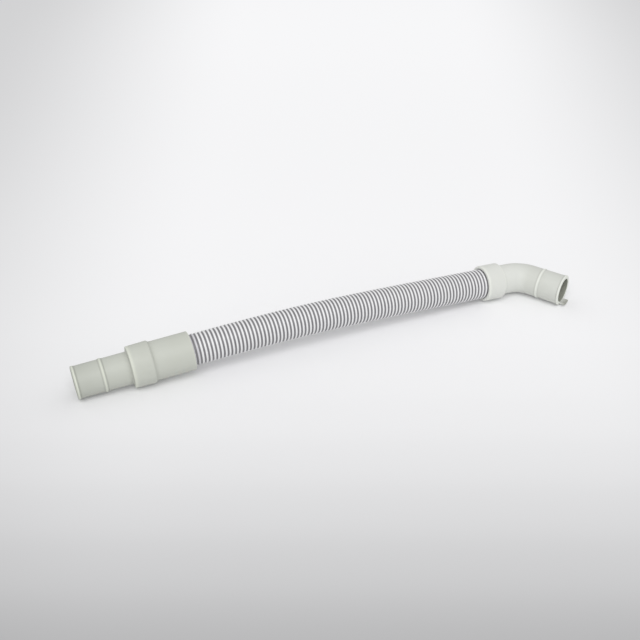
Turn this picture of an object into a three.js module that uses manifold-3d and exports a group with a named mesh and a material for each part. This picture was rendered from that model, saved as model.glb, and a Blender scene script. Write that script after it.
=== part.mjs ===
import * as THREE from 'three';
import { mergeVertices } from 'three/addons/utils/BufferGeometryUtils.js';
import Module from 'manifold-3d';

// Drain hose: a corrugated hose with a straight rubber cuff on one end and a rubber elbow on the other.
// Millimetres and degrees, +Z up, the floor at Z = 0. Distances run along the hose from the straight
// cuff's mouth. Each piece is a wall drawn as points of distance and radius, turned into a tube and
// laid along the way that the hose takes.

// Corrugated hose
const hoseRadius = 12.85;
const hoseWall = 2.45;
const groovePitch = 3.14;
const grooveCount = 85;
const grooveDepth = 0.6;
const grooveMouthWidth = 1.8;
const grooveFloorWidth = 1.0;
const firstGrooveGap = 0.25;
const lastGrooveCover = 1.45;
const straightPlug = 30;
const elbowPlug = 14;
const plugClearance = 0.3;

// Straight cuff
const boreRadius = 10.4;
const spigotRadius = 13;
const mouthBeadRadius = 13.4;
const mouthBeadWidth = 2.4;
const beadSlope = 0.4;
const ribRadius = 13.6;
const ribWidth = 2.4;
const ribAt = 22.7;
const spigotLength = 44.4;
const collarNearRadius = 16.8;
const collarFarRadius = 17.2;
const collarWidth = 16.7;
const collarSlope = 1.5;
const sleeveRadius = 15.8;
const sleeveLength = 32.8;

// Elbow
const elbowCollarRadius = 15.5;
const elbowCollarWidth = 16.9;
const elbowTubeRadius = 12.8;
const elbowNeck = 11;
const bendRadius = 22.5;
const bendAngle = 55.4;
const elbowRibRadius = 13.3;
const elbowRibPast = 9.3;
const elbowSpout = 29.8;
const elbowBeadWidth = 1.4;
const tongueLength = 5;
const tongueRoot = 1.5;
const tongueInset = 0.15;
const tongueWall = 1.4;
const tongueNearAngle = 30;
const tongueFarAngle = 20;

// How the hose lies: its headings and rises at shares of its length in sight. The first and last rises
// come from how the cuffs rest, and the ones between them all move alike to meet both cuffs.
const lieShares = [0, 0.06, 0.25, 0.5, 0.75, 0.94, 1];
const lieHeadings = [0, 1.2, 2.5, 3.1, 3.3, 3.0, 2.45];
const lieRises = [3.3, 1.1, -1.85, -3.2, -2.9];
const lieSteps = 1000;

// Fineness of the meshes
const hoseSides = 12;
const cuffSides = 32;
const bendSteps = 8;
const boreStep = 8 * groovePitch;
const wayStep = 0.5;
const tongueArcSteps = 6;

const radians = THREE.MathUtils.degToRad;
const vertical = new THREE.Vector3(0, 0, 1);

// Where each piece starts and ends
const collarAt = spigotLength;
const sleeveAt = collarAt + collarWidth;
const hoseAt = sleeveAt + sleeveLength;
const hoseBoreRadius = hoseRadius - hoseWall;
const hoseInSight = firstGrooveGap + grooveCount * groovePitch - lastGrooveCover;
const elbowAt = hoseAt + hoseInSight;
const neckAt = elbowAt + elbowCollarWidth;
const bendAt = neckAt + elbowNeck;
const bendLength = bendRadius * radians(bendAngle);
const spoutAt = bendAt + bendLength;
const elbowRibAt = spoutAt + elbowRibPast;
const elbowMouthAt = spoutAt + elbowSpout;

// The straight cuff rests on its mouth bead and on the near edge of its collar. The elbow rests on the
// far edge of its collar and on its mouth bead. The hose arches from one to the other.
const riseStart = Math.atan2(collarNearRadius - mouthBeadRadius, collarAt);
const elbowReach = elbowNeck + bendRadius * Math.sin(radians(bendAngle))
  + elbowSpout * Math.cos(radians(bendAngle));
const riseEnd = -Math.atan2(elbowCollarRadius - mouthBeadRadius, elbowReach);
const mouthHeight = mouthBeadRadius * Math.cos(riseStart);
const hoseStartHeight = mouthHeight + hoseAt * Math.sin(riseStart);
const hoseEndHeight = elbowCollarRadius * Math.cos(riseEnd) - elbowCollarWidth * Math.sin(riseEnd);
const meanSlope = (hoseEndHeight - hoseStartHeight) / hoseInSight;

// The smooth curve through values at the shares in lieShares
function throughStops(values, share) {
  const last = lieShares.length - 1;
  const next = lieShares.findIndex((stop) => stop > share);
  const i = next < 0 ? last - 1 : next - 1;
  const slopes = [i, i + 1].map((k) => {
    const before = Math.max(k - 1, 0);
    const after = Math.min(k + 1, last);
    return (values[after] - values[before]) / (lieShares[after] - lieShares[before]);
  });
  const span = lieShares[i + 1] - lieShares[i];
  const t = (share - lieShares[i]) / span;
  const near = (1 + 2 * t) * (1 - t) ** 2 * values[i] + t * (1 - t) ** 2 * span * slopes[0];
  const far = t * t * (3 - 2 * t) * values[i + 1] + t * t * (t - 1) * span * slopes[1];
  return near + far;
}

function meanOverHose(value) {
  let sum = 0;
  for (let i = 0; i < lieSteps; i += 1) sum += value((i + 0.5) / lieSteps);
  return sum / lieSteps;
}

const headings = lieHeadings.map(radians);
const setRises = [riseStart, ...lieRises.map(radians), riseEnd];
const moves = setRises.map((rise, i) => (i === 0 || i === setRises.length - 1 ? 0 : 1));
const lack = meanSlope - meanOverHose((share) => Math.sin(throughStops(setRises, share)));
const shift = lack / meanOverHose((share) => throughStops(moves, share));
const rises = setRises.map((rise, i) => rise + shift * moves[i]);

function direction(heading, rise) {
  return new THREE.Vector3(
    Math.cos(heading) * Math.cos(rise),
    Math.sin(heading) * Math.cos(rise),
    Math.sin(rise),
  );
}

// The way's direction at a distance along it
function forwardAt(distance) {
  const share = THREE.MathUtils.clamp((distance - hoseAt) / hoseInSight, 0, 1);
  const forward = direction(throughStops(headings, share), throughStops(rises, share));
  const turn = THREE.MathUtils.clamp((distance - bendAt) / bendRadius, 0, radians(bendAngle));
  const side = forward.clone().cross(vertical).normalize();
  return forward.multiplyScalar(Math.cos(turn)).addScaledVector(side, Math.sin(turn));
}

const wayPoints = [new THREE.Vector3(0, 0, mouthHeight)];
for (let distance = 0; distance < elbowMouthAt + tongueLength; distance += wayStep) {
  const next = wayPoints.at(-1).clone();
  wayPoints.push(next.addScaledVector(forwardAt(distance + wayStep / 2), wayStep));
}

function pointAt(distance) {
  const place = THREE.MathUtils.clamp(distance / wayStep, 0, wayPoints.length - 2);
  const index = Math.floor(place);
  return wayPoints[index].clone().lerp(wayPoints[index + 1], place - index);
}

// Lays a shape that stands on its own Y axis along the way. Its X goes to the right, its Z upwards.
function layAlongWay(geometry) {
  const position = geometry.getAttribute('position');
  for (let i = 0; i < position.count; i += 1) {
    const distance = position.getY(i);
    const forward = forwardAt(distance);
    const right = forward.clone().cross(vertical).normalize();
    const upward = right.clone().cross(forward);
    const place = pointAt(distance);
    place.addScaledVector(right, position.getX(i)).addScaledVector(upward, position.getZ(i));
    position.setXYZ(i, place.x, place.y, place.z);
  }
  return closed(geometry);
}

// The same surface with its shared corners merged
function closed(geometry) {
  geometry.deleteAttribute('normal');
  geometry.deleteAttribute('uv');
  const merged = mergeVertices(geometry, 1e-4);
  merged.computeVertexNormals();
  return merged;
}

// Adds points to a wall at the given distances, so that it can bend there
function withStops(wall, stops) {
  const points = [];
  wall.forEach(([distance, radius], i) => {
    points.push([distance, radius]);
    const [nextDistance, nextRadius] = wall[(i + 1) % wall.length];
    const between = stops.filter((stop) => (stop - distance) * (stop - nextDistance) < 0);
    between.sort((a, b) => Math.abs(a - distance) - Math.abs(b - distance));
    for (const stop of between) {
      const share = (stop - distance) / (nextDistance - distance);
      points.push([stop, THREE.MathUtils.lerp(radius, nextRadius, share)]);
    }
  });
  return points;
}

// A tube from its wall: the outside from the first end to the last, and the inside back again
function tube(wall, sides) {
  const points = wall.map(([distance, radius]) => new THREE.Vector2(radius, distance));
  points.push(points[0].clone());
  return layAlongWay(new THREE.LatheGeometry(points, sides));
}

// A raised ring on a tube, with sloping sides
function ring(centre, width, radius, tubeRadius) {
  return [
    [centre - width / 2 - beadSlope, tubeRadius],
    [centre - width / 2, radius],
    [centre + width / 2, radius],
    [centre + width / 2 + beadSlope, tubeRadius],
  ];
}

function straightCuff() {
  const socketFloor = hoseAt - straightPlug - plugClearance;
  const socketRadius = hoseRadius + plugClearance;
  const outside = [
    [0, mouthBeadRadius],
    [mouthBeadWidth, mouthBeadRadius],
    [mouthBeadWidth + beadSlope, spigotRadius],
    ...ring(ribAt, ribWidth, ribRadius, spigotRadius),
    [collarAt, spigotRadius],
    [collarAt, collarNearRadius],
    [sleeveAt, collarFarRadius],
    [sleeveAt + collarSlope, sleeveRadius],
    [hoseAt, sleeveRadius],
  ];
  const inside = [
    [hoseAt, socketRadius],
    [socketFloor, socketRadius],
    [socketFloor, boreRadius],
    [0, boreRadius],
  ];
  return tube([...outside, ...inside], cuffSides);
}

function corrugatedHose() {
  const start = hoseAt - straightPlug;
  const end = elbowAt + elbowPlug;
  const outside = [[start, hoseRadius]];
  for (let i = 0; i < grooveCount; i += 1) {
    const centre = hoseAt + firstGrooveGap + (i + 0.5) * groovePitch;
    outside.push(
      [centre - grooveMouthWidth / 2, hoseRadius],
      [centre - grooveFloorWidth / 2, hoseRadius - grooveDepth],
      [centre + grooveFloorWidth / 2, hoseRadius - grooveDepth],
      [centre + grooveMouthWidth / 2, hoseRadius],
    );
  }
  outside.push([end, hoseRadius]);
  const inside = [[end, hoseBoreRadius]];
  for (let stop = elbowAt; stop > hoseAt; stop -= boreStep) inside.push([stop, hoseBoreRadius]);
  inside.push([start, hoseBoreRadius]);
  return tube([...outside, ...inside], hoseSides);
}

// The tongue stands out of the bottom of the elbow's mouth, from the right side to the left of it
function tongue() {
  const inner = boreRadius + tongueInset;
  const outer = inner + tongueWall;
  const bottom = -Math.PI / 2;
  const rightEdge = bottom + radians(tongueNearAngle);
  const leftEdge = bottom - radians(tongueFarAngle);
  const section = new THREE.Shape();
  section.absarc(0, 0, outer, leftEdge, rightEdge, false);
  section.absarc(0, 0, inner, rightEdge, leftEdge, true);
  const depth = tongueLength + tongueRoot;
  const settings = { depth, bevelEnabled: false, curveSegments: tongueArcSteps };
  const geometry = new THREE.ExtrudeGeometry(section, settings);
  geometry.rotateX(Math.PI / 2);
  geometry.translate(0, elbowMouthAt + tongueLength, 0);
  return layAlongWay(geometry);
}

function elbow() {
  const socketFloor = elbowAt + elbowPlug + plugClearance;
  const socketRadius = hoseRadius + plugClearance;
  const outside = [
    [elbowAt, elbowCollarRadius],
    [neckAt, elbowCollarRadius],
    [neckAt, elbowTubeRadius],
    ...ring(elbowRibAt, ribWidth, elbowRibRadius, elbowTubeRadius),
    [elbowMouthAt - elbowBeadWidth - beadSlope, spigotRadius],
    [elbowMouthAt - elbowBeadWidth, mouthBeadRadius],
    [elbowMouthAt, mouthBeadRadius],
  ];
  const inside = [
    [elbowMouthAt, boreRadius],
    [socketFloor, boreRadius],
    [socketFloor, socketRadius],
    [elbowAt, socketRadius],
  ];
  const stops = [];
  for (let i = 0; i <= bendSteps; i += 1) stops.push(bendAt + (bendLength * i) / bendSteps);
  const wall = withStops([...outside, ...inside], stops);
  return joined(tube(wall, cuffSides), tongue());
}

const wasm = await Module();
wasm.setup();

function solid(geometry) {
  const vertProperties = new Float32Array(geometry.getAttribute('position').array);
  const triVerts = new Uint32Array(geometry.getIndex().array);
  return new wasm.Manifold(new wasm.Mesh({ numProp: 3, vertProperties, triVerts }));
}

function joined(first, second) {
  const mesh = solid(first).add(solid(second)).getMesh();
  const geometry = new THREE.BufferGeometry();
  geometry.setAttribute('position', new THREE.BufferAttribute(mesh.vertProperties, 3));
  geometry.setIndex(new THREE.BufferAttribute(mesh.triVerts, 1));
  geometry.computeVertexNormals();
  return geometry;
}

function piece(name, geometry, color, roughness) {
  const material = new THREE.MeshStandardMaterial({ color, roughness, metalness: 0 });
  const mesh = new THREE.Mesh(geometry, material);
  mesh.name = name;
  return mesh;
}

const drainHose = new THREE.Group();
drainHose.add(piece('straight_cuff', straightCuff(), 0xc5cabf, 0.6));
drainHose.add(piece('corrugated_hose', corrugatedHose(), 0xeeeef0, 0.5));
drainHose.add(piece('elbow_cuff', elbow(), 0xd0d5ca, 0.6));

// The origin is on the floor, under the middle of the part
const box = new THREE.Box3().setFromObject(drainHose);
const middle = box.getCenter(new THREE.Vector3());
drainHose.position.set(-middle.x, -middle.y, -box.min.z);

export default drainHose;
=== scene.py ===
"""Drain hose: a corrugated hose between a straight rubber cuff and a rubber elbow, on a pale floor."""

import math

import bmesh
import bpy
import numpy as np
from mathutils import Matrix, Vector


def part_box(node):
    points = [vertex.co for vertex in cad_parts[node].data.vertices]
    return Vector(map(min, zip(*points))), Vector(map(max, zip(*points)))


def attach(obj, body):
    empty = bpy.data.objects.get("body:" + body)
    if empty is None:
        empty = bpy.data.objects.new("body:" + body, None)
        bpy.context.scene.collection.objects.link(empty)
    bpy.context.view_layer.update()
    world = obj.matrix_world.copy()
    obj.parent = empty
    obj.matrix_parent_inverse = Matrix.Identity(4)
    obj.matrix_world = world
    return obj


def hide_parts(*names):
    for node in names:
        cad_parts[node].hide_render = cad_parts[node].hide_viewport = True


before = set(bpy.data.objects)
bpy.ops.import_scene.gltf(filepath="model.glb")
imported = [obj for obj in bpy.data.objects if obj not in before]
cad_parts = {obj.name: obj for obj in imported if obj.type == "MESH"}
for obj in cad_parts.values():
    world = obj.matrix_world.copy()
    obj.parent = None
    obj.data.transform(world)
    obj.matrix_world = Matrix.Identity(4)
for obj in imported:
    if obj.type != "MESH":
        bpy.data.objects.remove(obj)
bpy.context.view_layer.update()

MM = 0.001

# Corrugated hose
HOSE_RADIUS = 12.85 * MM
HOSE_BORE_RADIUS = 10.4 * MM
GROOVE_PITCH = 3.14 * MM
GROOVE_COUNT = 85
GROOVE_DEPTH = 0.6 * MM
GROOVE_MOUTH_WIDTH = 2.2 * MM
GROOVE_FLOOR_WIDTH = 0.8 * MM
FIRST_GROOVE_GAP = 0.25 * MM
LAST_GROOVE_COVER = 1.45 * MM
STRAIGHT_PLUG = 30 * MM
ELBOW_PLUG = 14 * MM
PLUG_CLEARANCE = 0.3 * MM

# Straight cuff
BORE_RADIUS = 10.4 * MM
SPIGOT_RADIUS = 13 * MM
MOUTH_BEAD_RADIUS = 13.4 * MM
MOUTH_BEAD_WIDTH = 2.4 * MM
RIB_RADIUS = 13.6 * MM
RIB_WIDTH = 2.4 * MM
RIB_AT = 22.7 * MM
BEAD_SLOPE = 0.4 * MM
BEAD_PEAK_AT = 1.4 * MM
BEAD_CROWN = 0.15 * MM
SPIGOT_LENGTH = 44.4 * MM
COLLAR_NEAR_RADIUS = 16.8 * MM
COLLAR_FAR_RADIUS = 17.2 * MM
COLLAR_WIDTH = 16.7 * MM
COLLAR_SLOPE = 1.5 * MM
COLLAR_FOOT = 0.6 * MM
SLEEVE_RADIUS = 15.8 * MM
SLEEVE_LENGTH = 32.8 * MM
SOCKET_RADIUS = HOSE_RADIUS + PLUG_CLEARANCE

# Elbow
ELBOW_COLLAR_RADIUS = 15.5 * MM
ELBOW_COLLAR_WIDTH = 16.9 * MM
ELBOW_TUBE_RADIUS = 12.8 * MM
ELBOW_NECK = 11 * MM
BEND_RADIUS = 22.5 * MM
BEND_ANGLE = math.radians(55.4)
ELBOW_RIB_RADIUS = 13.3 * MM
ELBOW_RIB_PAST = 9.3 * MM
ELBOW_SPOUT = 29.8 * MM
ELBOW_BEAD_WIDTH = 1.4 * MM
TONGUE_LENGTH = 5 * MM
TONGUE_WALL = 1.4 * MM
TONGUE_INSET = 0.15 * MM
TONGUE_NEAR_ANGLE = math.radians(30)
TONGUE_FAR_ANGLE = math.radians(20)
TONGUE_ROOT = 1.5 * MM
TONGUE_EDGE = 0.5 * MM
TONGUE_EDGE_ANGLE = math.radians(50)

# The ribs of both cuffs: a rib's corner stands above the round crest that its fillet leaves
RIB_HALF = RIB_WIDTH / 2 + BEAD_SLOPE
RIB_CORNER_RISE = 1.35
RIB_FILLET = 3 * MM
RIB_FOOT_FILLET = 0.15 * MM

# How the hose lies: headings in degrees at shares of its length in sight, and rises at all but the ends
LIE_SHARES = (0, 0.06, 0.25, 0.5, 0.75, 0.94, 1)
LIE_HEADINGS = (0, 1.2, 2.5, 3.1, 3.3, 3.0, 2.45)
LIE_RISES = (3.3, 1.1, -1.85, -3.2, -2.9)

# Where each piece starts and ends, as distances from the straight cuff's mouth
COLLAR_AT = SPIGOT_LENGTH
SLEEVE_AT = COLLAR_AT + COLLAR_WIDTH
HOSE_AT = SLEEVE_AT + SLEEVE_LENGTH
HOSE_IN_SIGHT = FIRST_GROOVE_GAP + GROOVE_COUNT * GROOVE_PITCH - LAST_GROOVE_COVER
ELBOW_AT = HOSE_AT + HOSE_IN_SIGHT
NECK_AT = ELBOW_AT + ELBOW_COLLAR_WIDTH
BEND_AT = NECK_AT + ELBOW_NECK
BEND_LENGTH = BEND_RADIUS * BEND_ANGLE
SPOUT_AT = BEND_AT + BEND_LENGTH
ELBOW_RIB_AT = SPOUT_AT + ELBOW_RIB_PAST
ELBOW_MOUTH_AT = SPOUT_AT + ELBOW_SPOUT

# Both cuffs rest on the floor at two places each, which sets how much their axes rise
RISE_START = math.atan2(COLLAR_NEAR_RADIUS - MOUTH_BEAD_RADIUS, COLLAR_AT)
ELBOW_REACH = ELBOW_NECK + BEND_RADIUS * math.sin(BEND_ANGLE) + ELBOW_SPOUT * math.cos(BEND_ANGLE)
RISE_END = -math.atan2(ELBOW_COLLAR_RADIUS - MOUTH_BEAD_RADIUS, ELBOW_REACH)
MOUTH_HEIGHT = MOUTH_BEAD_RADIUS * math.cos(RISE_START)
HOSE_START_HEIGHT = MOUTH_HEIGHT + HOSE_AT * math.sin(RISE_START)
HOSE_END_HEIGHT = ELBOW_COLLAR_RADIUS * math.cos(RISE_END) - ELBOW_COLLAR_WIDTH * math.sin(RISE_END)
MEAN_SLOPE = (HOSE_END_HEIGHT - HOSE_START_HEIGHT) / HOSE_IN_SIGHT

# Fineness of the meshes
CUFF_SIDES = 128
HOSE_SIDES = 72
STEPS_IN_PITCH = 12
BORE_STEPS = 60
BEND_STOPS = 40
WAY_STEP = 0.5 * MM
HOSE_WAY_POINTS = 625
CORD_POINT_EVERY = 8
RISE_SAMPLES = 1000
FILLET_STEPS = 5
FILLET_SHARE = 0.48
TONGUE_ARC_STEPS = 16
TONGUE_EDGE_STEPS = 4
MERGE_DISTANCE = 0.002 * MM
HOSE_MERGE_DISTANCE = 0.001 * MM
BAND_STEPS = (-1.8, -1.2, -0.8, -0.4, 0, 0.4, 0.8, 1.2, 1.8)
SHARP_ANGLE = math.radians(40)

# The camera, as the photograph's: how far it stands from the straight cuff's mouth, and where it looks
CAMERA_FROM_MOUTH = (-0.054827, -0.674388, 0.495531)
CAMERA_TURN = math.radians(-20.92)
CAMERA_DIP = math.radians(33.93)
PHOTO_WIDTH = 640
FOCAL_PIXELS = 1058.8
SENSOR_WIDTH = 36
CLIP_START = 0.05

# Colours, linear
STRAIGHT_MOUTH = (0.49, 0.508, 0.458)
STRAIGHT_BODY = (0.55, 0.568, 0.515)
# Paler rim colour of the straight cuff: a painted highlight on its edges, bead and rib
STRAIGHT_RIM_HIGHLIGHT = (0.72, 0.745, 0.65)
ELBOW_COLLAR = (0.715, 0.727, 0.69)
ELBOW_BODY = (0.635, 0.65, 0.608)
# Paler rim colour of the elbow: a painted highlight on its edges, bead, rib and mouth face
ELBOW_RIM_HIGHLIGHT = (0.82, 0.84, 0.78)
# Dark colour of the bores: painted shade inside the cuffs
BORE_PAINTED_SHADE = (0.33, 0.34, 0.29)
WHITE = (1.0, 1.0, 1.0)
CLOUDED = (0.972, 0.97, 0.965)
# The darkest tone of painted shade in the rubber's hollows
PAINTED_HOLLOW_SHADE = (0.74, 0.74, 0.73)
# Dark grey in the hose's grooves: painted shade of the grooves
GROOVE_PAINTED_SHADES = ((0.185, 0.182, 0.192), (0.22, 0.217, 0.227))
CREST_WHITES = ((0.80, 0.80, 0.81), (0.85, 0.85, 0.86))
# Darker first crest beside the sleeve: painted shade
FIRST_CREST_PAINTED_SHADE = (0.62, 0.61, 0.64)

# Rubber: the scales and edges of its clouds and grain, its roughness, and where and how much it takes its
# bore's painted shade
RUBBER_CLOUDS = 45
CLOUD_EDGES = (0.35, 0.65)
RUBBER_GRAIN = 1400
GRAIN_EDGES = (0.3, 0.7)
RUBBER_ROUGHNESS = (0.5, 0.62)
GRAIN_STRENGTH = 0.25
GRAIN_HEIGHT = 0.05 * MM
BORE_SHADE_WALL = 0.15 * MM
TONGUE_PAINTED_SHADE_SHARE = 0.85

# Hose plastic: where the grooves' painted shade turns to white, in pitches off a groove's middle, and where
# the painted shade on the first crest ends
CREST_EDGE = (0.2, 0.3)
FIRST_CREST_SHADE_END = (3 * MM, 6 * MM)
HOSE_CLOUDS = 60
HOSE_ROUGHNESS = 0.42

# Floor: its tones at shares of FLOOR_DEPTHS, in metres before the camera, darker near the camera as painted
# shade, its darker sides, also painted shade, and own light
FLOOR_SIZE = 10
FLOOR_DEPTHS = (0.4, 1.4)
FLOOR_TONES = (
    (0, 0.454),
    (0.05, 0.563),
    (0.1, 0.662),
    (0.15, 0.752),
    (0.2, 0.824),
    (0.25, 0.87),
    (0.325, 0.912),
    (0.5, 0.945),
    (1, 0.975),
)
FLOOR_MIDDLE = 0.045
FLOOR_SIDES = (0.15, 0.53)
FLOOR_SIDE_SHARE = 0.7
FLOOR_BLUE = 1.012
OWN_LIGHT_DEPTHS = (0.9, 1.6)
OWN_LIGHT_SHARES = (0.12, 0.6)

# The light
SKY_STRENGTH = 0.62
SOFTBOX_SIZE = (3.2, 2.4)
SOFTBOX_PLACE = (-0.9, -2.2, 3.4)
SOFTBOX_POWER = 88


def look_from_photo():
    """The camera at the photograph's place."""
    camera = bpy.data.cameras.new("photo_camera")
    camera.sensor_width = SENSOR_WIDTH
    camera.lens = SENSOR_WIDTH * FOCAL_PIXELS / PHOTO_WIDTH
    camera.clip_start = CLIP_START
    stand = bpy.data.objects.new("photo_camera", camera)
    stand.location = camera_place
    stand.rotation_euler = (math.pi / 2 - CAMERA_DIP, 0, CAMERA_TURN)
    bpy.context.scene.collection.objects.link(stand)
    bpy.context.scene.camera = stand
    bpy.context.scene.view_settings.view_transform = "Standard"


def through_stops(values, share):
    """The smooth curve through values at the shares in LIE_SHARES."""
    stops, values = np.array(LIE_SHARES), np.array(values)
    slope = np.gradient(values, stops)
    i = np.clip(np.searchsorted(stops, share, side="right") - 1, 0, len(stops) - 2)
    span = stops[i + 1] - stops[i]
    t = (share - stops[i]) / span
    before = (1 + 2 * t) * (1 - t) ** 2 * values[i] + t * (1 - t) ** 2 * span * slope[i]
    after = t * t * (3 - 2 * t) * values[i + 1] + t * t * (t - 1) * span * slope[i + 1]
    return before + after


def settled_rises():
    """The hose's rises, all but the ends moved alike until it meets the elbow's height."""
    rises = np.array([RISE_START, *np.radians(LIE_RISES), RISE_END])
    moved = np.array([0, 1, 1, 1, 1, 1, 0])
    share = (np.arange(RISE_SAMPLES) + 0.5) / RISE_SAMPLES
    lack = MEAN_SLOPE - np.mean(np.sin(through_stops(rises, share)))
    return rises + moved * lack / np.mean(through_stops(moved, share))


rises_on_way = settled_rises()


def across(a, b):
    """The unit vectors across a and b."""
    out = np.cross(a, b)
    return out / np.linalg.norm(out, axis=-1, keepdims=True)


def forward_at(distance):
    """The way's directions at distances along it."""
    distance = np.atleast_1d(distance)
    share = np.clip((distance - HOSE_AT) / HOSE_IN_SIGHT, 0, 1)
    heading = through_stops(np.radians(LIE_HEADINGS), share)
    rise = through_stops(rises_on_way, share)
    level = np.cos(rise)
    forward = np.stack([np.cos(heading) * level, np.sin(heading) * level, np.sin(rise)], axis=1)
    turn = np.clip((distance - BEND_AT) / BEND_RADIUS, 0, BEND_ANGLE)[:, None]
    side = across(forward, (0, 0, 1))
    return forward * np.cos(turn) + side * np.sin(turn)


def way_start():
    """The middle of the straight cuff's mouth: its top edge is the part's lowest X."""
    low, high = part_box("straight_cuff")
    x = low.x + MOUTH_BEAD_RADIUS * math.sin(RISE_START)
    return np.array([x, (low.y + high.y) / 2, MOUTH_HEIGHT])


camera_place = way_start() + CAMERA_FROM_MOUTH
way_distance = np.arange(0, ELBOW_MOUTH_AT + TONGUE_LENGTH + WAY_STEP, WAY_STEP)
way_steps = forward_at(way_distance[:-1] + WAY_STEP / 2) * WAY_STEP
way_point = way_start() + np.vstack([np.zeros(3), np.cumsum(way_steps, axis=0)])


def point_at(distance):
    """The way's points at distances along it."""
    return np.stack([np.interp(distance, way_distance, way_point[:, i]) for i in range(3)], axis=1)


def on_way(distance, right, upward):
    """Points beside the way: so far along it, so far to its right and so far above it."""
    forward = forward_at(distance)
    to_right = across(forward, (0, 0, 1))
    to_top = np.cross(to_right, forward)
    return point_at(distance) + to_right * right[:, None] + to_top * upward[:, None]


def round_corner(before, corner, after, fillet):
    """The points of a round corner, which takes FILLET_SHARE of its shorter side at most."""
    side_before = np.linalg.norm(before - corner)
    side_after = np.linalg.norm(after - corner)
    to_before = (before - corner) / side_before
    to_after = (after - corner) / side_after
    half = math.acos(max(-1, min(1, float(to_before @ to_after)))) / 2
    reach = min(fillet / math.tan(half), side_before * FILLET_SHARE, side_after * FILLET_SHARE)
    start = corner + to_before * reach
    end = corner + to_after * reach
    share = np.linspace(0, 1, FILLET_STEPS + 1)[:, None]
    return start * (1 - share) ** 2 + corner * 2 * share * (1 - share) + end * share**2


def rounded_wall(corners, bands, stops):
    """A closed wall with its corners rounded, as distances, radii and tones.

    corners are (distance, radius, fillet), stops are distances where the wall can bend, and bands are
    (distance, radius, reach, tone): rings of painted highlight, paler up to 1, or of painted shade, darker
    down to -1."""
    places = np.array([(distance, radius) for distance, radius, fillet in corners])
    near_bands = [band[0] + step * band[2] for band in bands for step in BAND_STEPS]
    wall = []
    for i, (_, _, fillet) in enumerate(corners):
        wall.extend(round_corner(places[i - 1], places[i], places[(i + 1) % len(corners)], fillet))
    full = []
    for i, (distance, radius) in enumerate(wall):
        full.append((distance, radius))
        next_distance, next_radius = wall[(i + 1) % len(wall)]
        passed = [s for s in [*stops, *near_bands] if (s - distance) * (s - next_distance) < 0]
        for stop in sorted(passed, key=lambda s: abs(s - distance)):
            share = (stop - distance) / (next_distance - distance)
            full.append((stop, radius + (next_radius - radius) * share))
    full = np.array(full)
    tone = np.zeros(len(full))
    for distance, radius, reach, strength in bands:
        gap = np.hypot(full[:, 0] - distance, full[:, 1] - radius)
        tone += strength * np.exp(-((gap / reach) ** 2))
    return np.column_stack([full, np.clip(tone, -1, 1)])


def keep_on_points(mesh, values):
    """Keeps named values on a mesh's points, for its material to read."""
    for label, value in values.items():
        kept = mesh.attributes.new(label, "FLOAT", "POINT")
        kept.data.foreach_set("value", np.broadcast_to(np.asarray(value, dtype=float), len(mesh.vertices)))


def swept(name, wall, sides):
    """A mesh object: the wall turned round the way, with its tones of painted highlight and shade, its bore,
    which takes a painted shade, and its distances kept on its points.
    """
    angle = np.arange(sides) * 2 * math.pi / sides
    distance = np.repeat(wall[:, 0], sides)
    radius = np.repeat(wall[:, 1], sides)
    turn = np.tile(angle, len(wall))
    points = on_way(distance, radius * np.sin(turn), radius * np.cos(turn))
    faces = []
    for i in range(len(wall)):
        near, far = i * sides, (i + 1) % len(wall) * sides
        for j in range(sides):
            k = (j + 1) % sides
            faces.append((near + j, near + k, far + k, far + j))
    mesh = bpy.data.meshes.new(name)
    mesh.from_pydata(points.tolist(), [], faces)
    # Points of the bore, and just outside it, take the bore's painted shade
    inside = np.repeat(wall[:, 1] < BORE_RADIUS + BORE_SHADE_WALL, sides)
    keep_on_points(mesh, {"tone": np.repeat(wall[:, 2], sides), "inside": inside, "along": distance})
    return finished(name, mesh)


def close_and_smooth(mesh):
    """Merges doubles, points the faces outwards and shades them smooth up to the sharp edges."""
    mesh.shade_smooth()
    work = bmesh.new()
    work.from_mesh(mesh)
    bmesh.ops.remove_doubles(work, verts=work.verts, dist=MERGE_DISTANCE)
    bmesh.ops.recalc_face_normals(work, faces=work.faces)
    if work.calc_volume(signed=True) < 0:
        bmesh.ops.reverse_faces(work, faces=work.faces)
    for edge in work.edges:
        edge.smooth = edge.calc_face_angle() < SHARP_ANGLE
    work.to_mesh(mesh)
    work.free()


def finished(name, mesh):
    """An object of a mesh, with its faces pointing out and smooth."""
    close_and_smooth(mesh)
    piece = bpy.data.objects.new(name, mesh)
    bpy.context.scene.collection.objects.link(piece)
    return piece


def round_rib(centre, radius, tube_radius):
    """The corners of a half-round rib on a tube."""
    peak = tube_radius + (radius - tube_radius) * RIB_CORNER_RISE
    return [
        (centre - RIB_HALF, tube_radius, RIB_FOOT_FILLET),
        (centre, peak, RIB_FILLET),
        (centre + RIB_HALF, tube_radius, RIB_FOOT_FILLET),
    ]


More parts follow.
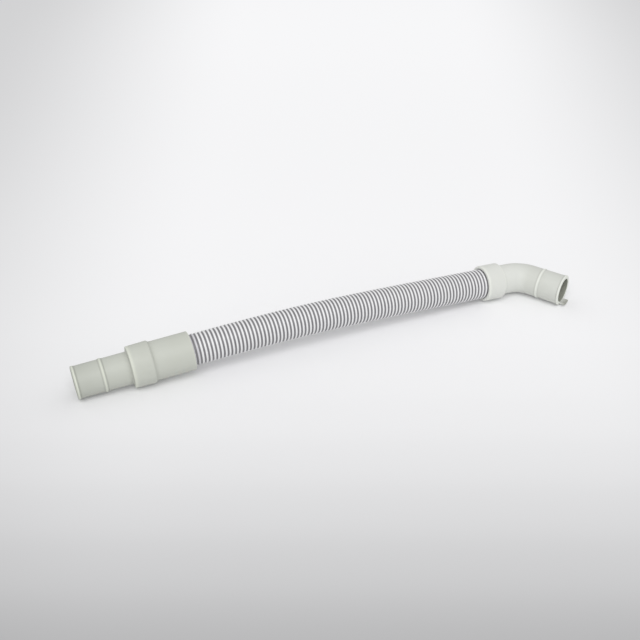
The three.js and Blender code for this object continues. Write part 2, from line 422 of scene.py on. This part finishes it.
def make_straight_cuff():
    """The straight cuff: mouth bead, rib, collar and sleeve outside, socket and bore inside."""
    socket_floor = HOSE_AT - STRAIGHT_PLUG - PLUG_CLEARANCE
    corners = [
        (0, SPIGOT_RADIUS, 0.4 * MM),
        (BEAD_PEAK_AT, MOUTH_BEAD_RADIUS + BEAD_CROWN, 1.2 * MM),
        (MOUTH_BEAD_WIDTH + BEAD_SLOPE, SPIGOT_RADIUS, 0.2 * MM),
        *round_rib(RIB_AT, RIB_RADIUS, SPIGOT_RADIUS),
        (COLLAR_AT - COLLAR_FOOT, SPIGOT_RADIUS, 1 * MM),
        (COLLAR_AT, COLLAR_NEAR_RADIUS, 0.7 * MM),
        (SLEEVE_AT, COLLAR_FAR_RADIUS, 0.8 * MM),
        (SLEEVE_AT + COLLAR_SLOPE, SLEEVE_RADIUS, 1.8 * MM),
        (HOSE_AT, SLEEVE_RADIUS, 0.8 * MM),
        (HOSE_AT, SOCKET_RADIUS, 0.4 * MM),
        (socket_floor, SOCKET_RADIUS, 0.3 * MM),
        (socket_floor, BORE_RADIUS, 0.4 * MM),
        (0, BORE_RADIUS, 0.5 * MM),
    ]
    # Painted highlights on the mouth bead, the rib, the collar's near edge and the sleeve's end; painted
    # shade beside the bead, at the rib's feet, at the collar's foot and below the collar's far slope
    bands = [
        (BEAD_PEAK_AT, MOUTH_BEAD_RADIUS, 0.6 * MM, 1),
        (MOUTH_BEAD_WIDTH + BEAD_SLOPE, SPIGOT_RADIUS, 0.6 * MM, -1),
        (RIB_AT - RIB_HALF, SPIGOT_RADIUS, 0.5 * MM, -0.7),
        (RIB_AT, RIB_RADIUS, 0.8 * MM, 0.8),
        (RIB_AT + RIB_HALF, SPIGOT_RADIUS, 0.5 * MM, -1),
        (COLLAR_AT - COLLAR_FOOT, SPIGOT_RADIUS, 2.2 * MM, -0.6),
        (COLLAR_AT + 0.8 * MM, COLLAR_NEAR_RADIUS, 1.5 * MM, 0.65),
        (SLEEVE_AT + COLLAR_SLOPE, SLEEVE_RADIUS, 1.5 * MM, -0.3),
        (HOSE_AT, SLEEVE_RADIUS, 0.7 * MM, 0.8),
    ]
    return swept("straight_cuff_rubber", rounded_wall(corners, bands, []), CUFF_SIDES)


def make_elbow():
    """The elbow: collar, rib and mouth bead outside, bore and socket inside, and its tongue."""
    socket_floor = ELBOW_AT + ELBOW_PLUG + PLUG_CLEARANCE
    corners = [
        (ELBOW_AT, ELBOW_COLLAR_RADIUS, 1.8 * MM),
        (NECK_AT, ELBOW_COLLAR_RADIUS, 0.5 * MM),
        (NECK_AT, ELBOW_TUBE_RADIUS, 1.6 * MM),
        *round_rib(ELBOW_RIB_AT, ELBOW_RIB_RADIUS, ELBOW_TUBE_RADIUS),
        (ELBOW_MOUTH_AT - ELBOW_BEAD_WIDTH - BEAD_SLOPE, SPIGOT_RADIUS, 0.3 * MM),
        (ELBOW_MOUTH_AT - ELBOW_BEAD_WIDTH, MOUTH_BEAD_RADIUS, 0.3 * MM),
        (ELBOW_MOUTH_AT, MOUTH_BEAD_RADIUS, 0.7 * MM),
        (ELBOW_MOUTH_AT, BORE_RADIUS, 0.5 * MM),
        (socket_floor, BORE_RADIUS, 0.4 * MM),
        (socket_floor, SOCKET_RADIUS, 0.3 * MM),
        (ELBOW_AT, SOCKET_RADIUS, 0.4 * MM),
    ]
    # Painted highlights on the collar's edges, the rib and the mouth's bead and face; painted shade at the
    # neck, at the rib's feet and before the mouth bead
    bands = [
        (ELBOW_AT + 0.6 * MM, ELBOW_COLLAR_RADIUS, 1.6 * MM, 0.6),
        (NECK_AT, ELBOW_COLLAR_RADIUS, 0.8 * MM, 0.5),
        (NECK_AT + 0.4 * MM, ELBOW_TUBE_RADIUS, 1 * MM, -0.5),
        (ELBOW_RIB_AT - RIB_HALF, ELBOW_TUBE_RADIUS, 0.5 * MM, -0.4),
        (ELBOW_RIB_AT, ELBOW_RIB_RADIUS, 0.9 * MM, 0.9),
        (ELBOW_RIB_AT + RIB_HALF, ELBOW_TUBE_RADIUS, 0.5 * MM, -0.4),
        (ELBOW_MOUTH_AT - ELBOW_BEAD_WIDTH - BEAD_SLOPE, SPIGOT_RADIUS, 0.5 * MM, -0.6),
        (ELBOW_MOUTH_AT, MOUTH_BEAD_RADIUS, 0.9 * MM, 1),
        (ELBOW_MOUTH_AT, (MOUTH_BEAD_RADIUS + BORE_RADIUS) / 2, 1 * MM, 0.8),
        (ELBOW_MOUTH_AT, BORE_RADIUS, 0.7 * MM, 1),
    ]
    stops = BEND_AT + BEND_LENGTH * np.arange(BEND_STOPS + 1) / BEND_STOPS
    elbow = swept("elbow_rubber", rounded_wall(corners, bands, stops.tolist()), CUFF_SIDES)
    join_tongue(elbow, make_tongue())
    return elbow


def make_tongue():
    """The tongue at the bottom of the elbow's mouth: a slice of its wall, carried on past the rim."""
    inner = BORE_RADIUS + TONGUE_INSET
    outer = inner + TONGUE_WALL
    turn = np.linspace(-TONGUE_NEAR_ANGLE, TONGUE_FAR_ANGLE, TONGUE_ARC_STEPS + 1)
    arc = np.concatenate([turn, turn[::-1]])
    radius = np.concatenate([np.full(len(turn), outer), np.full(len(turn), inner)])
    right, upward = -radius * np.sin(arc), -radius * np.cos(arc)
    ends = (ELBOW_MOUTH_AT - TONGUE_ROOT, ELBOW_MOUTH_AT + TONGUE_LENGTH)
    rings = [on_way(np.full(len(arc), end), right, upward) for end in ends]
    count = len(arc)
    sides = [(i, (i + 1) % count, (i + 1) % count + count, i + count) for i in range(count)]
    caps = [
        (i + j * count, i + 1 + j * count, count - 2 - i + j * count, count - 1 - i + j * count)
        for i in range(count // 2 - 1)
        for j in (0, 1)
    ]
    mesh = bpy.data.meshes.new("tongue")
    mesh.from_pydata(np.vstack(rings).tolist(), [], sides + caps)
    # The tongue takes most of the bore's painted shade
    keep_on_points(mesh, {"tone": 0, "inside": TONGUE_PAINTED_SHADE_SHARE, "along": ELBOW_MOUTH_AT})
    return finished("tongue", mesh)


def join_tongue(elbow, tongue):
    """Joins the tongue to the elbow, with its edges rounded."""
    bevel = tongue.modifiers.new("round_edges", "BEVEL")
    bevel.width = TONGUE_EDGE
    bevel.segments = TONGUE_EDGE_STEPS
    bevel.limit_method = "ANGLE"
    bevel.angle_limit = TONGUE_EDGE_ANGLE
    union = elbow.modifiers.new("join", "BOOLEAN")
    union.operation = "UNION"
    union.solver = "MANIFOLD"
    union.object = tongue
    graph = bpy.context.evaluated_depsgraph_get()
    mesh = bpy.data.meshes.new_from_object(elbow.evaluated_get(graph))
    elbow.modifiers.clear()
    elbow.data = mesh
    bpy.data.objects.remove(tongue)
    close_and_smooth(mesh)


def math_node(tree, operation, *values):
    """A maths node's output, from numbers and sockets."""
    node = tree.nodes.new("ShaderNodeMath")
    node.operation = operation
    for socket, value in zip(node.inputs, values):
        if isinstance(value, (int, float)):
            socket.default_value = value
        else:
            tree.links.new(value, socket)
    return node.outputs[0]


def vector_node(tree, operation, *values):
    """A vector maths node's output, from vectors and sockets."""
    node = tree.nodes.new("ShaderNodeVectorMath")
    node.operation = operation
    sockets = [node.inputs[0], node.inputs["Scale"] if operation == "SCALE" else node.inputs[1]]
    for socket, value in zip(sockets, values):
        if isinstance(value, tuple):
            socket.default_value = value
        else:
            tree.links.new(value, socket)
    return node.outputs[0]


HOSE_SIZES = {
    "Length": STRAIGHT_PLUG + HOSE_IN_SIGHT + ELBOW_PLUG,
    "Radius": HOSE_RADIUS,
    "Bore Radius": HOSE_BORE_RADIUS,
    "First Groove": STRAIGHT_PLUG + FIRST_GROOVE_GAP,
    "Groove Pitch": GROOVE_PITCH,
    "Groove Count": GROOVE_COUNT,
    "Groove Depth": GROOVE_DEPTH,
    "Groove Floor Width": GROOVE_FLOOR_WIDTH,
    "Groove Mouth Width": GROOVE_MOUTH_WIDTH,
    "Steps Along": round((STRAIGHT_PLUG + HOSE_IN_SIGHT + ELBOW_PLUG) / GROOVE_PITCH * STEPS_IN_PITCH),
    "Bore Steps": BORE_STEPS,
    "Sides": HOSE_SIDES,
}


def hose_tree():
    """Geometry nodes that sweep the hose's grooved wall along a way."""
    tree = bpy.data.node_groups.new("corrugated_hose_wall", "GeometryNodeTree")
    tree.interface.new_socket("Geometry", in_out="INPUT", socket_type="NodeSocketGeometry")
    for name, value in HOSE_SIZES.items():
        kind = "NodeSocketInt" if isinstance(value, int) else "NodeSocketFloat"
        tree.interface.new_socket(name, in_out="INPUT", socket_type=kind)
    tree.interface.new_socket("Material", in_out="INPUT", socket_type="NodeSocketMaterial")
    tree.interface.new_socket("Geometry", in_out="OUTPUT", socket_type="NodeSocketGeometry")
    size = tree.nodes.new("NodeGroupInput").outputs

    def calc(operation, *values):
        return math_node(tree, operation, *values)

    # A flat sheet: its X goes round the hose, and its Y goes out along the outside and back inside
    rows = calc("ADD", calc("ADD", size["Steps Along"], size["Bore Steps"]), 2.0)
    sheet = tree.nodes.new("GeometryNodeMeshGrid")
    tree.links.new(calc("ADD", size["Sides"], 1.0), sheet.inputs["Vertices X"])
    tree.links.new(calc("ADD", rows, 1.0), sheet.inputs["Vertices Y"])
    place = tree.nodes.new("ShaderNodeSeparateXYZ")
    tree.links.new(tree.nodes.new("GeometryNodeInputPosition").outputs[0], place.inputs[0])
    turn = calc("MULTIPLY", calc("ADD", place.outputs["X"], 0.5), 2 * math.pi)
    row = calc("ROUND", calc("MULTIPLY", calc("ADD", place.outputs["Y"], 0.5), rows))
    row = calc("MULTIPLY", row, calc("LESS_THAN", row, calc("SUBTRACT", rows, 0.5)))
    inside = calc("GREATER_THAN", row, calc("ADD", size["Steps Along"], 0.5))

    # How far along the hose each row is
    out = calc("DIVIDE", row, size["Steps Along"])
    row_inside = calc("SUBTRACT", calc("SUBTRACT", row, size["Steps Along"]), 1.0)
    back = calc("SUBTRACT", 1.0, calc("DIVIDE", row_inside, size["Bore Steps"]))
    share = tree.nodes.new("ShaderNodeMix")
    tree.links.new(inside, share.inputs["Factor"])
    tree.links.new(out, share.inputs["A"])
    tree.links.new(back, share.inputs["B"])
    along = calc("MULTIPLY", share.outputs["Result"], size["Length"])

    # The grooves: full depth at each groove's floor, none on the crests
    pitches = calc("DIVIDE", calc("SUBTRACT", along, size["First Groove"]), size["Groove Pitch"])
    off_middle = calc("ABSOLUTE", calc("SUBTRACT", calc("FRACT", pitches), 0.5))
    off_middle = calc("MULTIPLY", off_middle, size["Groove Pitch"])
    depth = tree.nodes.new("ShaderNodeMapRange")
    depth.interpolation_type = "SMOOTHSTEP"
    tree.links.new(off_middle, depth.inputs["Value"])
    tree.links.new(calc("DIVIDE", size["Groove Floor Width"], 2.0), depth.inputs["From Min"])
    tree.links.new(calc("DIVIDE", size["Groove Mouth Width"], 2.0), depth.inputs["From Max"])
    tree.links.new(size["Groove Depth"], depth.inputs["To Min"])
    depth.inputs["To Max"].default_value = 0
    after_first = calc("GREATER_THAN", pitches, 0.0)
    before_last = calc("LESS_THAN", pitches, size["Groove Count"])
    grooved = calc("MULTIPLY", after_first, before_last)
    outer = calc("SUBTRACT", size["Radius"], calc("MULTIPLY", depth.outputs["Result"], grooved))
    radius = tree.nodes.new("ShaderNodeMix")
    tree.links.new(inside, radius.inputs["Factor"])
    tree.links.new(outer, radius.inputs["A"])
    tree.links.new(size["Bore Radius"], radius.inputs["B"])
    radius = radius.outputs["Result"]

    # Round the way
    line = tree.nodes.new("GeometryNodeMeshToCurve")
    tree.links.new(size["Geometry"], line.inputs["Mesh"])
    sample = tree.nodes.new("GeometryNodeSampleCurve")
    sample.mode = "LENGTH"
    tree.links.new(line.outputs["Curve"], sample.inputs["Curves"])
    tree.links.new(along, sample.inputs["Length"])
    forward = sample.outputs["Tangent"]
    right = vector_node(tree, "CROSS_PRODUCT", forward, (0.0, 0.0, 1.0))
    right = vector_node(tree, "NORMALIZE", right)
    upward = vector_node(tree, "CROSS_PRODUCT", right, forward)
    beside = vector_node(tree, "SCALE", right, calc("MULTIPLY", radius, calc("SINE", turn)))
    above = vector_node(tree, "SCALE", upward, calc("MULTIPLY", radius, calc("COSINE", turn)))
    off_way = vector_node(tree, "ADD", beside, above)
    place_on_way = vector_node(tree, "ADD", sample.outputs["Position"], off_way)

    # The sheet in its place, closed along its seam and at its ends
    keep = tree.nodes.new("GeometryNodeStoreNamedAttribute")
    keep.data_type = "FLOAT"
    keep.domain = "POINT"
    keep.inputs["Name"].default_value = "along"
    tree.links.new(sheet.outputs["Mesh"], keep.inputs["Geometry"])
    tree.links.new(along, keep.inputs["Value"])
    wrap = tree.nodes.new("GeometryNodeSetPosition")
    tree.links.new(keep.outputs["Geometry"], wrap.inputs["Geometry"])
    tree.links.new(place_on_way, wrap.inputs["Position"])
    close = tree.nodes.new("GeometryNodeMergeByDistance")
    close.inputs["Distance"].default_value = HOSE_MERGE_DISTANCE
    tree.links.new(wrap.outputs["Geometry"], close.inputs["Geometry"])
    realize = tree.nodes.new("GeometryNodeRealizeInstances")
    tree.links.new(close.outputs["Geometry"], realize.inputs["Geometry"])
    dress = tree.nodes.new("GeometryNodeSetMaterial")
    tree.links.new(realize.outputs["Geometry"], dress.inputs["Geometry"])
    tree.links.new(size["Material"], dress.inputs["Material"])
    result = tree.nodes.new("NodeGroupOutput")
    tree.links.new(dress.outputs["Geometry"], result.inputs["Geometry"])
    return tree


def make_hose(material):
    """The corrugated hose, and the points that it follows."""
    steps = np.linspace(HOSE_AT - STRAIGHT_PLUG, ELBOW_AT + ELBOW_PLUG, HOSE_WAY_POINTS)
    points = point_at(steps)
    line = bpy.data.meshes.new("hose_way")
    line.from_pydata(points.tolist(), [(i, i + 1) for i in range(len(points) - 1)], [])
    guide = bpy.data.objects.new("hose_way", line)
    bpy.context.scene.collection.objects.link(guide)
    modifier = guide.modifiers.new("corrugated_hose_wall", "NODES")
    modifier.node_group = hose_tree()
    sizes = {**HOSE_SIZES, "Material": material}
    for item in modifier.node_group.interface.items_tree:
        if item.in_out == "INPUT" and item.name in sizes:
            modifier[item.identifier] = sizes[item.name]
    graph = bpy.context.evaluated_depsgraph_get()
    mesh = bpy.data.meshes.new_from_object(guide.evaluated_get(graph))
    bpy.data.objects.remove(guide)
    return finished("corrugated_hose_wall", mesh), points[::CORD_POINT_EVERY]


def new_material(name):
    """A material, its node tree and its shader."""
    material = bpy.data.materials.new(name)
    material.use_nodes = True
    shader = material.node_tree.nodes["Principled BSDF"]
    return material, material.node_tree, shader


def kept_value(tree, label):
    """A value that is kept on the mesh's points."""
    node = tree.nodes.new("ShaderNodeAttribute")
    node.attribute_name = label
    return node.outputs["Fac"]


def noise(tree, scale, detail, place):
    """A noise's value at a place."""
    node = tree.nodes.new("ShaderNodeTexNoise")
    node.inputs["Scale"].default_value = scale
    node.inputs["Detail"].default_value = detail
    tree.links.new(place, node.inputs["Vector"])
    return node.outputs["Fac"]


def mix_colors(tree, share, first, second):
    """The first colour, turning into the second by a share. Each is a colour or a socket."""
    node = tree.nodes.new("ShaderNodeMix")
    node.data_type = "RGBA"
    tree.links.new(share, node.inputs["Factor"])
    for socket, value in ((node.inputs[6], first), (node.inputs[7], second)):
        if isinstance(value, tuple):
            socket.default_value = (*value, 1)
        else:
            tree.links.new(value, socket)
    return node.outputs[2]


def multiplied(tree, first, second):
    """Two colours multiplied."""
    node = tree.nodes.new("ShaderNodeMix")
    node.data_type = "RGBA"
    node.blend_type = "MULTIPLY"
    node.inputs["Factor"].default_value = 1
    tree.links.new(first, node.inputs[6])
    tree.links.new(second, node.inputs[7])
    return node.outputs[2]


def between(tree, value, low, high, to_low=0.0, to_high=1.0):
    """A smooth step from to_low, where the value is low or less, to to_high, where it is high or more."""
    node = tree.nodes.new("ShaderNodeMapRange")
    node.interpolation_type = "SMOOTHSTEP"
    tree.links.new(value, node.inputs["Value"])
    for name, number in (("From Min", low), ("From Max", high), ("To Min", to_low), ("To Max", to_high)):
        node.inputs[name].default_value = number
    return node.outputs["Result"]


def rubber(name, near, far, reach, rim):
    """Moulded rubber: a little uneven, paler on its edges as a painted highlight, darker in its hollows as
    painted shade and darker in its bore as painted shade.

    Its tone goes from near to far over reach, two distances along the way."""
    material, tree, shader = new_material(name)
    place = tree.nodes.new("ShaderNodeTexCoord").outputs["Object"]
    clouds = noise(tree, RUBBER_CLOUDS, 3, place)
    body = mix_colors(tree, between(tree, kept_value(tree, "along"), *reach), near, far)
    uneven = mix_colors(tree, between(tree, clouds, *CLOUD_EDGES), WHITE, CLOUDED)
    color = multiplied(tree, body, uneven)
    # tone above 0 is a painted highlight, and below 0 it is painted shade
    tone = kept_value(tree, "tone")
    color = mix_colors(tree, math_node(tree, "MAXIMUM", tone, 0.0), color, rim)
    painted_shade_share = math_node(tree, "MAXIMUM", math_node(tree, "MULTIPLY", tone, -1.0), 0.0)
    color = multiplied(tree, color, mix_colors(tree, painted_shade_share, WHITE, PAINTED_HOLLOW_SHADE))
    # The bore and the tongue take a painted shade
    color = mix_colors(tree, kept_value(tree, "inside"), color, BORE_PAINTED_SHADE)
    tree.links.new(color, shader.inputs["Base Color"])
    grain = noise(tree, RUBBER_GRAIN, 2, place)
    tree.links.new(between(tree, grain, *GRAIN_EDGES, *RUBBER_ROUGHNESS), shader.inputs["Roughness"])
    bump = tree.nodes.new("ShaderNodeBump")
    bump.inputs["Strength"].default_value = GRAIN_STRENGTH
    bump.inputs["Distance"].default_value = GRAIN_HEIGHT
    tree.links.new(grain, bump.inputs["Height"])
    tree.links.new(bump.outputs["Normal"], shader.inputs["Normal"])
    return material


def hose_plastic():
    """White plastic with dark grey grooves, which is painted shade, and a darker first crest at the sleeve,
    also painted shade.
    """
    material, tree, shader = new_material("hose_plastic")
    along = kept_value(tree, "along")
    pitches = math_node(tree, "SUBTRACT", along, STRAIGHT_PLUG + FIRST_GROOVE_GAP)
    pitches = math_node(tree, "DIVIDE", pitches, GROOVE_PITCH)
    off_middle = math_node(tree, "SUBTRACT", math_node(tree, "FRACT", pitches), 0.5)
    crest = between(tree, math_node(tree, "ABSOLUTE", off_middle), *CREST_EDGE)
    place = tree.nodes.new("ShaderNodeTexCoord").outputs["Object"]
    clouds = noise(tree, HOSE_CLOUDS, 2, place)
    # The grooves' dark grey is painted shade
    groove = mix_colors(tree, clouds, *GROOVE_PAINTED_SHADES)
    white = mix_colors(tree, clouds, *CREST_WHITES)
    # Painted shade on the first crest beside the sleeve
    shade_end, white_start = FIRST_CREST_SHADE_END
    past_first = between(tree, along, STRAIGHT_PLUG + shade_end, STRAIGHT_PLUG + white_start)
    white = mix_colors(tree, past_first, FIRST_CREST_PAINTED_SHADE, white)
    tree.links.new(mix_colors(tree, crest, groove, white), shader.inputs["Base Color"])
    shader.inputs["Roughness"].default_value = HOSE_ROUGHNESS
    return material


def floor_finish():
    """The pale floor: darker towards the camera and a little darker to the sides, both painted shade.

    The camera also sees some light of the floor's own, more of it far back, as on a lit paper sweep."""
    material, tree, shader = new_material("pale_floor")
    place = tree.nodes.new("ShaderNodeTexCoord").outputs["Object"]
    parts = tree.nodes.new("ShaderNodeSeparateXYZ")
    tree.links.new(place, parts.inputs[0])
    # Painted shade: the floor's tones get darker towards the camera
    depth = tree.nodes.new("ShaderNodeMapRange")
    tree.links.new(parts.outputs["Y"], depth.inputs["Value"])
    depth.inputs["From Min"].default_value, depth.inputs["From Max"].default_value = FLOOR_DEPTHS
    ramp = tree.nodes.new("ShaderNodeValToRGB")
    tree.links.new(depth.outputs["Result"], ramp.inputs["Fac"])
    ramp.color_ramp.interpolation = "CARDINAL"
    while len(ramp.color_ramp.elements) < len(FLOOR_TONES):
        ramp.color_ramp.elements.new(0.5)
    for stop, (where, tone) in zip(ramp.color_ramp.elements, FLOOR_TONES):
        stop.position = where
        stop.color = (tone, tone, tone, 1)
    # Painted shade towards the floor's sides
    aside = math_node(tree, "ABSOLUTE", math_node(tree, "SUBTRACT", parts.outputs["X"], FLOOR_MIDDLE))
    painted_side_shade = between(tree, aside, *FLOOR_SIDES, 1.0, FLOOR_SIDE_SHARE)
    tone = math_node(tree, "MULTIPLY", ramp.outputs["Color"], painted_side_shade)
    join = tree.nodes.new("ShaderNodeCombineColor")
    for name in ("Red", "Green"):
        tree.links.new(tone, join.inputs[name])
    blue = math_node(tree, "MINIMUM", math_node(tree, "MULTIPLY", tone, FLOOR_BLUE), 1.0)
    tree.links.new(blue, join.inputs["Blue"])
    tree.links.new(join.outputs["Color"], shader.inputs["Base Color"])
    shader.inputs["Roughness"].default_value = 1
    shader.inputs["Specular IOR Level"].default_value = 0
    own_light = tree.nodes.new("ShaderNodeEmission")
    tree.links.new(join.outputs["Color"], own_light.inputs["Color"])
    path = tree.nodes.new("ShaderNodeLightPath")
    own = between(tree, parts.outputs["Y"], *OWN_LIGHT_DEPTHS, *OWN_LIGHT_SHARES)
    share = math_node(tree, "MULTIPLY", path.outputs["Is Camera Ray"], own)
    mix = tree.nodes.new("ShaderNodeMixShader")
    tree.links.new(share, mix.inputs[0])
    tree.links.new(shader.outputs[0], mix.inputs[1])
    tree.links.new(own_light.outputs[0], mix.inputs[2])
    tree.links.new(mix.outputs[0], tree.nodes["Material Output"].inputs["Surface"])
    return material


def make_floor():
    """The floor, turned as the photograph's camera is, with its origin below it."""
    half = FLOOR_SIZE / 2
    corners = [(-half, -half, 0), (half, -half, 0), (half, half, 0), (-half, half, 0)]
    mesh = bpy.data.meshes.new("floor")
    mesh.from_pydata(corners, [], [(0, 1, 2, 3)])
    mesh.materials.append(floor_finish())
    floor = bpy.data.objects.new("floor", mesh)
    floor.location = (camera_place[0], camera_place[1], 0)
    floor.rotation_euler = (0, 0, CAMERA_TURN)
    bpy.context.scene.collection.objects.link(floor)


def make_lights():
    """A soft sky all round, and one wide lamp above and in front of the hose."""
    world = bpy.data.worlds.new("studio")
    bpy.context.scene.world = world
    world.use_nodes = True
    sky = world.node_tree.nodes["Background"]
    sky.inputs["Color"].default_value = (1, 1, 1, 1)
    sky.inputs["Strength"].default_value = SKY_STRENGTH
    lamp = bpy.data.lights.new("softbox", "AREA")
    lamp.shape = "RECTANGLE"
    lamp.size, lamp.size_y = SOFTBOX_SIZE
    lamp.energy = SOFTBOX_POWER
    stand = bpy.data.objects.new("softbox", lamp)
    stand.location = SOFTBOX_PLACE
    stand.rotation_euler = (-Vector(SOFTBOX_PLACE)).to_track_quat("-Z", "Y").to_euler()
    bpy.context.scene.collection.objects.link(stand)


look_from_photo()

hose, hose_path = make_hose(hose_plastic())
straight_cuff = make_straight_cuff()
elbow = make_elbow()

straight_reach = (0, COLLAR_AT)
elbow_reach = (NECK_AT, ELBOW_RIB_AT)
straight_cuff.data.materials.append(
    rubber("straight_rubber", STRAIGHT_MOUTH, STRAIGHT_BODY, straight_reach, STRAIGHT_RIM_HIGHLIGHT)
)
elbow.data.materials.clear()
elbow.data.materials.append(rubber("elbow_rubber", ELBOW_COLLAR, ELBOW_BODY, elbow_reach, ELBOW_RIM_HIGHLIGHT))

for piece, node in ((straight_cuff, "straight_cuff"), (hose, "corrugated_hose"), (elbow, "elbow_cuff")):
    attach(piece, "root")
    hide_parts(node)

make_floor()
make_lights()
